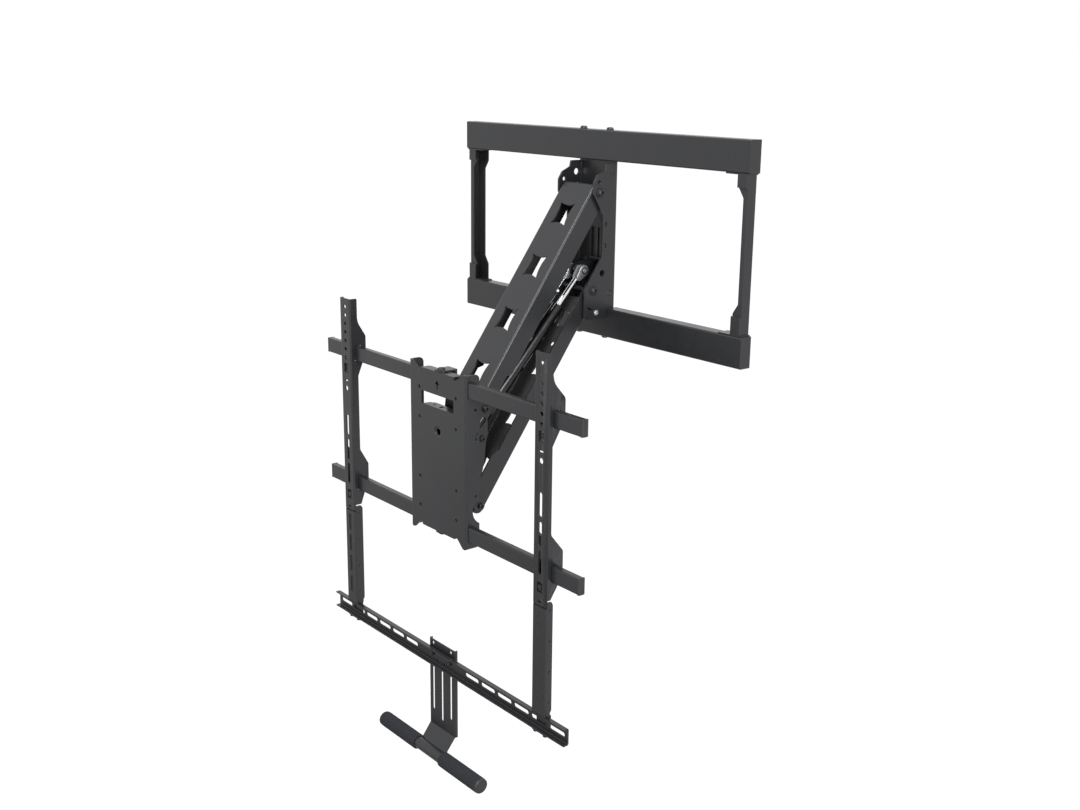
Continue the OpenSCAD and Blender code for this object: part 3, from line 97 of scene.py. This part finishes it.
class Nodes:
    """Builds one procedural material over the frame's own coordinates, in metres."""

    def __init__(self, name, rough, metal=0.0, specular=0.5):
        self.material = bpy.data.materials.new(name)
        self.material.use_nodes = True
        self.tree = self.material.node_tree
        self.tree.nodes.clear()
        out = add_node(self.tree, "ShaderNodeOutputMaterial")
        self.shader = add_node(self.tree, "ShaderNodeBsdfPrincipled", {
            "Roughness": rough, "Metallic": metal, "Specular IOR Level": specular})
        self.link(self.shader.outputs[0], out.inputs[0])
        self.place = add_node(self.tree, "ShaderNodeTexCoord").outputs["Object"]

    def link(self, a, b):
        self.tree.links.new(a, b)

    def noise(self, scale, detail):
        node = add_node(self.tree, "ShaderNodeTexNoise", {
            "Scale": scale, "Detail": detail, "Roughness": NOISE_ROUGHNESS})
        self.link(self.place, node.inputs["Vector"])
        return node.outputs[0]

    def cells(self, scale):
        node = add_node(self.tree, "ShaderNodeTexVoronoi", {"Scale": scale})
        self.link(self.place, node.inputs["Vector"])
        return node.outputs["Distance"]

    def ramp(self, value, low, high, band=NOISE_BAND):
        node = add_node(self.tree, "ShaderNodeValToRGB")
        for stop, position, colour in zip(node.color_ramp.elements, band, (low, high)):
            stop.position = position
            stop.color = (*colour, 1)
        self.link(value, node.inputs[0])
        return node.outputs[0]

    def spread(self, value, low, high):
        node = add_node(self.tree, "ShaderNodeMapRange", {
            "From Min": NOISE_BAND[0], "From Max": NOISE_BAND[1], "To Min": low, "To Max": high})
        self.link(value, node.inputs["Value"])
        return node.outputs[0]

    def colour(self, value):
        self.link(value, self.shader.inputs["Base Color"])

    def roughness(self, value):
        self.link(value, self.shader.inputs["Roughness"])

    def bump(self, layers, edge=0.0):
        """layers: (height value, depth in metres), edge: radius of softened edges in metres"""
        normal = None
        if edge:
            bevel = add_node(self.tree, "ShaderNodeBevel", {"Radius": edge})
            bevel.samples = BEVEL_SAMPLES
            normal = bevel.outputs[0]
        for value, depth in layers:
            node = add_node(self.tree, "ShaderNodeBump", {"Strength": 1.0, "Distance": depth})
            self.link(value, node.inputs["Height"])
            if normal:
                self.link(normal, node.inputs["Normal"])
            normal = node.outputs[0]
        self.link(normal, self.shader.inputs["Normal"])


def powder_coat():
    m = Nodes("powder_coat", 0.3)
    m.colour(m.ramp(m.noise(14, 4), (0.0162, 0.0166, 0.0186), (0.0190, 0.0195, 0.0216)))
    m.roughness(m.spread(m.noise(45, 3), 0.27, 0.34))
    m.bump([(m.noise(1500, 2), 0.00003), (m.noise(320, 2), 0.00002)], edge=0.0006)
    return m.material


def black_oxide():
    m = Nodes("black_oxide", 0.36, metal=0.35)
    m.colour(m.ramp(m.noise(260, 3), (0.016, 0.016, 0.017), (0.034, 0.034, 0.036)))
    m.roughness(m.spread(m.noise(500, 2), 0.28, 0.46))
    m.bump([(m.noise(2200, 2), 0.00002)], edge=0.0003)
    return m.material


def zinc():
    m = Nodes("zinc_steel", 0.38, metal=0.7)
    m.colour(m.ramp(m.cells(420), (0.33, 0.34, 0.35), (0.45, 0.46, 0.47), band=(0.1, 0.8)))
    m.roughness(m.spread(m.noise(300, 3), 0.32, 0.46))
    m.bump([(m.noise(900, 3), 0.00002)], edge=0.0003)
    return m.material


def chrome_rod():
    m = Nodes("chromed_rod", 0.12, metal=1.0)
    m.colour(m.ramp(m.noise(120, 2), (0.74, 0.75, 0.76), (0.86, 0.87, 0.88)))
    m.roughness(m.spread(m.noise(60, 4), 0.08, 0.17))
    m.bump([(m.noise(2500, 2), 0.000004)], edge=0.0003)
    return m.material


def tube_paint():
    m = Nodes("tube_paint", 0.18)
    m.colour(m.ramp(m.noise(30, 3), (0.0035, 0.0036, 0.0038), (0.0055, 0.0056, 0.006)))
    m.roughness(m.spread(m.noise(80, 3), 0.13, 0.2))
    m.bump([(m.noise(700, 2), 0.00001)], edge=0.0003)
    return m.material


def nylon():
    m = Nodes("black_nylon", 0.5)
    m.colour(m.ramp(m.noise(90, 3), (0.017, 0.0175, 0.018), (0.024, 0.0245, 0.0255)))
    m.roughness(m.spread(m.noise(400, 2), 0.42, 0.58))
    m.bump([(m.noise(1800, 2), 0.00004)], edge=0.0005)
    return m.material


def foam():
    m = Nodes("grip_foam", 0.85, specular=0.3)
    m.colour(m.ramp(m.noise(2600, 3), (0.020, 0.0218, 0.0262), (0.0255, 0.0275, 0.0325)))
    m.roughness(m.spread(m.noise(300, 2), 0.78, 0.92))
    m.bump([(m.cells(1500), 0.00005), (m.noise(900, 3), 0.00004)])
    return m.material


FINISHES = {
    "charcoal_powder_coat": powder_coat(),
    "black_oxide_steel": black_oxide(),
    "plain_steel": zinc(),
    "chromed_rod": chrome_rod(),
    "gloss_black_tube": tube_paint(),
    "black_nylon": nylon(),
    "grey_foam": foam(),
}


def paint(piece, slot):
    piece.data.materials.clear()
    piece.data.materials.append(FINISHES[slot])


for part in frame["record"]["subparts"]:
    paint(frame["nodes"][part["node"]], part["material_slot"])


# Finer pieces: fasteners, spring rods and plugs, built as skins over rings of points.
# All lengths are in metres.

RING_POINTS = 48
THREAD_POINTS = 32
SHARP_ANGLE = math.radians(34)


def ring(kind, r, h, n=RING_POINTS):
    """Ring at height h: round with radius r, or a hexagon that is 2 * r wide over its flats."""
    points = []
    for i in range(n):
        a = 2 * math.pi * i / n
        reach = r / math.cos(a % (math.pi / 3) - math.pi / 6) if kind == "hex" else r
        points.append((reach * math.cos(a), reach * math.sin(a), h))
    return points


def rings_of(kind, *steps):
    """Rings of one kind, from pairs of radius and height"""
    return [ring(kind, r, h) for r, h in steps]


class Build:
    """Collects skins over rings into one piece.

    Each skin starts at a point and runs along a direction, or else along Z.
    """

    # Domed head: share of its radius and of its height, from the rim to the socket
    DOME = ((1, 0), (1, 0.22), (0.96, 0.48), (0.87, 0.72), (0.72, 0.92), (0.6, 1))
    SOCKET_BEVEL, SOCKET_BEVEL_H = 0.0002, 0.0003
    SOCKET_FLOOR = 0.3  # share of the head's height
    THREAD_DEPTH = 0.0005

    def __init__(self):
        self.shape = bmesh.new()

    def skin(self, rings, at=(0, 0, 0), along=None, hollow=False):
        """Closed by a face at each end, or a hollow ring that joins its last loop to its first"""
        turn = Vector(along).to_track_quat("Z", "Y") if along else Quaternion()
        loops = [[self.shape.verts.new(Vector(at) + turn @ Vector(v)) for v in points]
                 for points in rings]
        follow = loops[1:] + loops[:1] if hollow else loops[1:]
        for a, b in zip(loops, follow):
            for i, v in enumerate(a):
                j = (i + 1) % len(a)
                self.shape.faces.new((v, a[j], b[j], b[i]))
        if not hollow:
            self.shape.faces.new(list(reversed(loops[0])))
            self.shape.faces.new(loops[-1])

    def rod(self, at, along, d, length, edge=0.0003):
        r = d / 2
        self.skin(rings_of("round", (r - edge, 0), (r, edge), (r, length - edge),
                           (r - edge, length)), at, along)

    def button(self, at, along, d, h, socket):
        """Domed head with a hexagon socket"""
        r, flat = d / 2, socket / 2
        rings = rings_of("round", *((r * a, h * b) for a, b in self.DOME))
        rings += rings_of("hex", (flat + self.SOCKET_BEVEL, h), (flat, h - self.SOCKET_BEVEL_H),
                          (flat, h * self.SOCKET_FLOOR))
        self.skin(rings, at, along)

    def bolt(self, at, along, head_d, head_h, socket, shank_d, shank):
        """Button head and the start of its shank, which is buried in the piece below"""
        self.button(at, along, head_d, head_h, socket)
        self.rod(Vector(at) - shank * Vector(along), along, shank_d, shank)

    def flanged_hexagon(self, at, along, d, across, h):
        """Hexagon head with a round flange and a crowned top"""
        r, flat = d / 2, across / 2
        rings = rings_of("round", (r - 0.0003, 0), (r, 0.0004), (r - 0.0002, 0.0010),
                         (flat + 0.0008, 0.0016))
        rings += rings_of("hex", (flat, 0.0018), (flat, h - 0.0012))
        rings += rings_of("round", (flat - 0.0001, h - 0.0006), (flat - 0.0015, h))
        self.skin(rings, at, along)

    def thread(self, at, along, d, length, pitch):
        turns = int(length / pitch)
        crest, root = d / 2, d / 2 - self.THREAD_DEPTH
        rings = []
        for i in range(turns):
            rings += [ring("round", root, i * pitch, THREAD_POINTS),
                      ring("round", crest, (i + 0.5) * pitch, THREAD_POINTS)]
        rings.append(ring("round", root, turns * pitch, THREAD_POINTS))
        self.skin(rings, at, along)

    def finish(self, name, slot, body, *nodes):
        """Turns the skins into a painted piece that rides on a body in place of the nodes"""
        bmesh.ops.recalc_face_normals(self.shape, faces=self.shape.faces)
        mesh = bpy.data.meshes.new(name)
        self.shape.to_mesh(mesh)
        self.shape.free()
        mesh.shade_smooth()
        mesh.set_sharp_from_angle(angle=SHARP_ANGLE)
        piece = bpy.data.objects.new(name, mesh)
        bpy.context.collection.objects.link(piece)
        paint(piece, slot)
        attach(piece, body)
        if nodes:
            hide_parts(*nodes)


def make_axle(node, body, head_d, washer_d, socket):
    """Axle with a washer and a domed head at each end, centred on x = 0"""
    axle_d, washer_h, washer_edge, head_h = 0.010, 0.0013, 0.00035, 0.0036
    head_room, sunk = 0.005, 0.0001  # the head is sunk into its washer, so no gap shows
    low, high = (Vector(v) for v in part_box(node))
    middle = (low + high) / 2
    end = high.x - head_room
    head_x = end + washer_h - sunk
    build = Build()
    build.rod((-end, middle.y, middle.z), (1, 0, 0), axle_d, 2 * end)
    for s in (-1, 1):
        build.rod((s * end, middle.y, middle.z), (s, 0, 0), washer_d, washer_h, washer_edge)
        build.button((s * head_x, middle.y, middle.z), (s, 0, 0), head_d, head_h, socket)
    build.finish(node + "_fine", "black_oxide_steel", body, node)


def make_cover_screws():
    """Flanged screws in pairs, above the upper cover and below the lower one"""
    screw_x, head_d, across, head_h = 0.0325, 0.013, 0.0098, 0.0045
    shank_d, shank = 0.006, 0.0053
    low, high = (Vector(v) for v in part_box("cover_screws"))
    build = Build()
    for x in (-screw_x, screw_x):
        for s, z in ((1, high.z), (-1, low.z)):
            at = Vector((x, (low.y + high.y) / 2, z - s * head_h))
            build.flanged_hexagon(at, (0, 0, s), head_d, across, head_h)
            build.rod(at - Vector((0, 0, s * shank)), (0, 0, s), shank_d, shank)
    build.finish("cover_screws_fine", "black_oxide_steel", "wall_frame", "cover_screws")


def make_foot_bolts():
    """Heads at the ends of the springs' foot shaft"""
    head_h = 0.0035
    low, high = (Vector(v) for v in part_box("spring_foot_bolts"))
    middle = (low + high) / 2
    build = Build()
    for s in (-1, 1):
        build.bolt((s * (high.x - head_h), middle.y, middle.z), (s, 0, 0), head_d=0.011,
                   head_h=head_h, socket=0.005, shank_d=0.006, shank=0.0035)
    build.finish("spring_foot_bolts_fine", "black_oxide_steel", "head", "spring_foot_bolts")


def make_swivel_bolts():
    """Bolts above and below the yoke, which the plate turns on"""
    head_h = 0.003
    low, high = (Vector(v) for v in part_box("swivel_bolts"))
    middle = (low + high) / 2
    build = Build()
    for s, z in ((1, high.z), (-1, low.z)):
        build.bolt((middle.x, middle.y, z - s * head_h), (0, 0, s), head_d=0.013,
                   head_h=head_h, socket=0.006, shank_d=0.008, shank=0.0056)
    build.finish("swivel_bolts_fine", "black_oxide_steel", "yoke", "swivel_bolts")


def make_ear_fasteners():
    """Button screws and push-in plugs low on the column's ears"""
    screw_y, screw_z = 0.006, -0.0375  # both places are from the lower axle
    plug_y, plug_z, plug_seat = 0.034, -0.007, 0.001
    plug = ((0.0047, 0), (0.0047, 0.0006), (0.0043, 0.0009), (0.0036, 0.0009), (0.0033, 0.0006))
    _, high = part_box("column")
    axle_low, axle_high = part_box("lower_column_axle")
    y, z = (axle_low[1] + axle_high[1]) / 2, (axle_low[2] + axle_high[2]) / 2
    screws, plugs = Build(), Build()
    for s in (-1, 1):
        screws.bolt((s * high[0], y + screw_y, z + screw_z), (s, 0, 0), head_d=0.0092,
                    head_h=0.0028, socket=0.004, shank_d=0.0058, shank=0.0035)
        plugs.skin(rings_of("round", *plug),
                   (s * (high[0] - plug_seat), y + plug_y, z + plug_z), (s, 0, 0))
    screws.finish("ear_screws", "plain_steel", "wall_frame")
    plugs.finish("ear_plugs", "black_nylon", "wall_frame")


def arc(centre, r, start, end, count):
    """Points (along the rod, across it) of an arc about a centre on the rod's line"""
    angles = [start + (end - start) * i / (count - 1) for i in range(count)]
    return [(centre + r * math.cos(a), r * math.sin(a)) for a in angles]


def make_spring_rods():
    """Forged eyes, the right rod plain and chromed, the left one threaded where it shows"""
    # Eye: a drop shape of two arcs, about the pin and about a point farther along the rod
    far, r_far, r_eye, r_hole, eye_half = 0.0145, 0.0062, 0.0096, 0.00405, 0.006
    hole_bevel, eye_points, far_points = 0.0006, 36, 20
    # Rounded rim of the eye: how far in from the outline, how far down from the flat side
    rim = ((0.0011, 0), (0.0003, 0.0005), (0, 0.0014))
    # Along the rod from the pin: its start, its thread's end, its piston and its nut
    start, show, end, nut_at = 0.018, 0.074, 0.289, 0.046
    rod_d, pitch, piston_d, piston = 0.0098, 0.002, 0.0164, 0.008
    nut = ((0.0068, 0), (0.0074, 0.0006), (0.0074, 0.0044), (0.0068, 0.005))

    joints = {j["name"]: j for j in frame["record"]["behaviour"]["joints"]}
    pin = Vector(joints["spring_swing"]["pos_m"])
    along = Vector(joints["spring_stroke"]["axis"])
    across = along.cross(Vector((1, 0, 0)))
    lean = math.acos((r_eye - r_far) / far)

    def outline(inset, x):
        points = arc(0, r_eye - inset, lean, 2 * math.pi - lean, eye_points)
        points += arc(far, r_far - inset, -lean, lean, far_points)
        return [(x, y, z) for y, z in points]

    def hole(x, grow=0.0):
        angles = [math.atan2(z, y) for _, y, z in outline(0, x)]
        return [(x, (r_hole + grow) * math.cos(a), (r_hole + grow) * math.sin(a)) for a in angles]

    loops = [hole(-eye_half + hole_bevel), hole(-eye_half, hole_bevel)]
    loops += [outline(inset, -eye_half + down) for inset, down in rim]
    loops += [outline(inset, eye_half - down) for inset, down in reversed(rim)]
    loops += [hole(eye_half, hole_bevel), hole(eye_half - hole_bevel)]
    for name in ("left", "right"):
        low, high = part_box(name + "_spring_rod")
        middle = Vector(((low[0] + high[0]) / 2, pin.y, pin.z))
        eye = Build()
        eye.skin([[middle + Vector((x, 0, 0)) + along * y + across * z for x, y, z in points]
                  for points in loops], hollow=True)
        eye.finish(name + "_spring_eye", "plain_steel", "spring_rods")
        rod = Build()
        if name == "left":
            rod.thread(middle + along * start, along, rod_d, show - start, pitch)
            rod.skin(rings_of("hex", *nut), middle + along * nut_at, along)
            rod.rod(middle + along * show, along, rod_d, end - show)
        else:
            rod.rod(middle + along * start, along, rod_d, end - start)
        rod.rod(middle + along * end, along, piston_d, piston)
        rod.finish(name + "_spring_rod_fine", "chromed_rod", "spring_rods", name + "_spring_rod")


def make_anchor_pin():
    """Pin through the springs' eyes, held by a dark retaining ring at each end"""
    pin_d, pin_short, pin_edge, ring_seat = 0.0079, 0.0012, 0.0006, 0.0024
    retainer = ((0.0040, 0), (0.0057, 0), (0.0058, 0.0006), (0.0056, 0.0009), (0.0040, 0.0009))
    low, high = (Vector(v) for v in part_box("spring_anchor_pin"))
    middle = (low + high) / 2
    end = high.x - pin_short
    pin, rings = Build(), Build()
    pin.rod((-end, middle.y, middle.z), (1, 0, 0), pin_d, 2 * end, pin_edge)
    for s in (-1, 1):
        rings.skin(rings_of("round", *retainer),
                   (s * (high.x - ring_seat), middle.y, middle.z), (s, 0, 0), hollow=True)
    pin.finish("spring_anchor_pin_fine", "plain_steel", "wall_frame", "spring_anchor_pin")
    rings.finish("spring_anchor_rings", "black_oxide_steel", "wall_frame")


def make_right_bracket():
    """The right television bracket, its outer half mirrored so that both flanges are shallow"""
    cut_gap, weld_gap = 1e-6, 2e-6
    low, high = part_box("right_tv_bracket")
    middle = Vector(((low[0] + high[0]) / 2, 0, 0))
    build = Build()
    shape = build.shape
    shape.from_mesh(bpy.data.objects["right_tv_bracket"].data)
    whole = shape.verts[:] + shape.edges[:] + shape.faces[:]
    bmesh.ops.bisect_plane(shape, geom=whole, dist=cut_gap,
                           plane_co=middle, plane_no=(-1, 0, 0), clear_outer=True)
    half = shape.faces[:] + shape.edges[:] + shape.verts[:]
    copied = bmesh.ops.duplicate(shape, geom=half)["geom"]
    for v in copied:
        if isinstance(v, bmesh.types.BMVert):
            v.co.x = 2 * middle.x - v.co.x
    faces = [f for f in copied if isinstance(f, bmesh.types.BMFace)]
    bmesh.ops.reverse_faces(shape, faces=faces)
    bmesh.ops.remove_doubles(shape, verts=shape.verts[:], dist=weld_gap)
    build.finish("right_tv_bracket_fine", "charcoal_powder_coat", "right_bracket",
                 "right_tv_bracket")


# Node, body, and the widths of the heads, washers and sockets
AXLES = (
    ("upper_column_axle", "wall_frame", 0.0125, 0.0178, 0.006),
    ("lower_column_axle", "wall_frame", 0.0125, 0.0178, 0.006),
    ("upper_head_axle", "head", 0.0115, 0.0130, 0.005),
    ("lower_head_axle", "head", 0.0095, 0.0100, 0.0045),
)

make_right_bracket()
make_anchor_pin()
for axle in AXLES:
    make_axle(*axle)
make_cover_screws()
make_foot_bolts()
make_swivel_bolts()
make_ear_fasteners()
make_spring_rods()


# Light: a white surround that metal reflects, and broad soft lamps

SURROUND_LIGHT = 0.28  # what rough faces get of the white that the camera and glossy faces see


def make_world():
    world = bpy.data.worlds.new("white_surround")
    bpy.context.scene.world = world
    world.use_nodes = True
    tree = world.node_tree
    tree.nodes.clear()
    rays = add_node(tree, "ShaderNodeLightPath")
    mirrored = add_node(tree, "ShaderNodeMath", operation="MAXIMUM")
    tree.links.new(rays.outputs["Is Glossy Ray"], mirrored.inputs[0])
    tree.links.new(rays.outputs["Is Transmission Ray"], mirrored.inputs[1])
    seen = add_node(tree, "ShaderNodeMath", operation="MAXIMUM")
    tree.links.new(rays.outputs["Is Camera Ray"], seen.inputs[0])
    tree.links.new(mirrored.outputs[0], seen.inputs[1])
    strength = add_node(tree, "ShaderNodeMapRange", {"To Min": SURROUND_LIGHT, "To Max": 1.0})
    tree.links.new(seen.outputs[0], strength.inputs["Value"])
    back = add_node(tree, "ShaderNodeBackground", {"Color": (1, 1, 1, 1)})
    tree.links.new(strength.outputs[0], back.inputs["Strength"])
    out = add_node(tree, "ShaderNodeOutputWorld")
    tree.links.new(back.outputs[0], out.inputs[0])


LAMP_AIM = (0, -0.25, -0.2)
# Name, place and width in metres, power in watts
LAMPS = (
    ("key", (0.2, -2.0, 2.9), 1.6, 74),
    ("front", (0.6, -3.2, 0.5), 1.8, 12),
    ("side", (2.8, -1.1, 0.7), 1.6, 75),
)


def make_lamp(name, at, size, power):
    data = bpy.data.lights.new(name, "AREA")
    data.shape = "DISK"
    data.size = size
    data.energy = power
    light = bpy.data.objects.new(name, data)
    bpy.context.collection.objects.link(light)
    light.location = at
    light.rotation_mode = "QUATERNION"
    light.rotation_quaternion = (Vector(LAMP_AIM) - Vector(at)).to_track_quat("-Z", "Y")


make_world()
for lamp in LAMPS:
    make_lamp(*lamp)

FLOOR_Z = -1.7
FLOOR_HALF = 150
FLOOR_WHITE, FLOOR_ROUGHNESS = 0.9, 0.9
FLOOR_GLOW = 1.22  # what the camera sees
FLOOR_GLOW_SHARE = 0.8  # of the floor, for camera and glossy rays; the rest is lit white
SHADE_CENTRE = (-1.4, -1.3, 0)
SHADE_RADIUS = 4.0
SHADE_LEVEL = 0.3  # the glow that glossy faces see at the centre of the shade


def make_floor():
    mesh = bpy.data.meshes.new("floor")
    shape = bmesh.new()
    bmesh.ops.create_grid(shape, x_segments=1, y_segments=1, size=FLOOR_HALF)
    shape.to_mesh(mesh)
    shape.free()
    floor = bpy.data.objects.new("floor", mesh)
    floor.location = (0, 0, FLOOR_Z)
    bpy.context.collection.objects.link(floor)
    material = bpy.data.materials.new("floor_white")
    material.use_nodes = True
    tree = material.node_tree
    shader = tree.nodes["Principled BSDF"]
    shader.inputs["Base Color"].default_value = (FLOOR_WHITE, FLOOR_WHITE, FLOOR_WHITE, 1)
    shader.inputs["Roughness"].default_value = FLOOR_ROUGHNESS
    shader.inputs["Specular IOR Level"].default_value = 0.0
    rays = add_node(tree, "ShaderNodeLightPath")
    # Glossy faces see the floor darker before the mount, plain white farther away
    place = add_node(tree, "ShaderNodeTexCoord")
    reach = add_node(tree, "ShaderNodeVectorMath", {1: SHADE_CENTRE}, "DISTANCE")
    tree.links.new(place.outputs["Object"], reach.inputs[0])
    fade = add_node(tree, "ShaderNodeMapRange", {
        "From Min": 0.0, "From Max": SHADE_RADIUS, "To Min": SHADE_LEVEL, "To Max": 1.0})
    tree.links.new(reach.outputs["Value"], fade.inputs["Value"])
    level = add_node(tree, "ShaderNodeMapRange", {"To Max": FLOOR_GLOW})
    tree.links.new(fade.outputs[0], level.inputs["To Min"])
    tree.links.new(rays.outputs["Is Camera Ray"], level.inputs["Value"])
    glow = add_node(tree, "ShaderNodeEmission")
    tree.links.new(level.outputs[0], glow.inputs["Strength"])
    seen = add_node(tree, "ShaderNodeMath", operation="MAXIMUM")
    tree.links.new(rays.outputs["Is Camera Ray"], seen.inputs[0])
    tree.links.new(rays.outputs["Is Glossy Ray"], seen.inputs[1])
    share = add_node(tree, "ShaderNodeMath", {1: FLOOR_GLOW_SHARE}, "MULTIPLY")
    tree.links.new(seen.outputs[0], share.inputs[0])
    mix = add_node(tree, "ShaderNodeMixShader")
    tree.links.new(share.outputs[0], mix.inputs[0])
    tree.links.new(shader.outputs[0], mix.inputs[1])
    tree.links.new(glow.outputs[0], mix.inputs[2])
    tree.links.new(mix.outputs[0], tree.nodes["Material Output"].inputs[0])
    mesh.materials.append(material)


make_floor()

bpy.context.scene.view_settings.view_transform = "Standard"
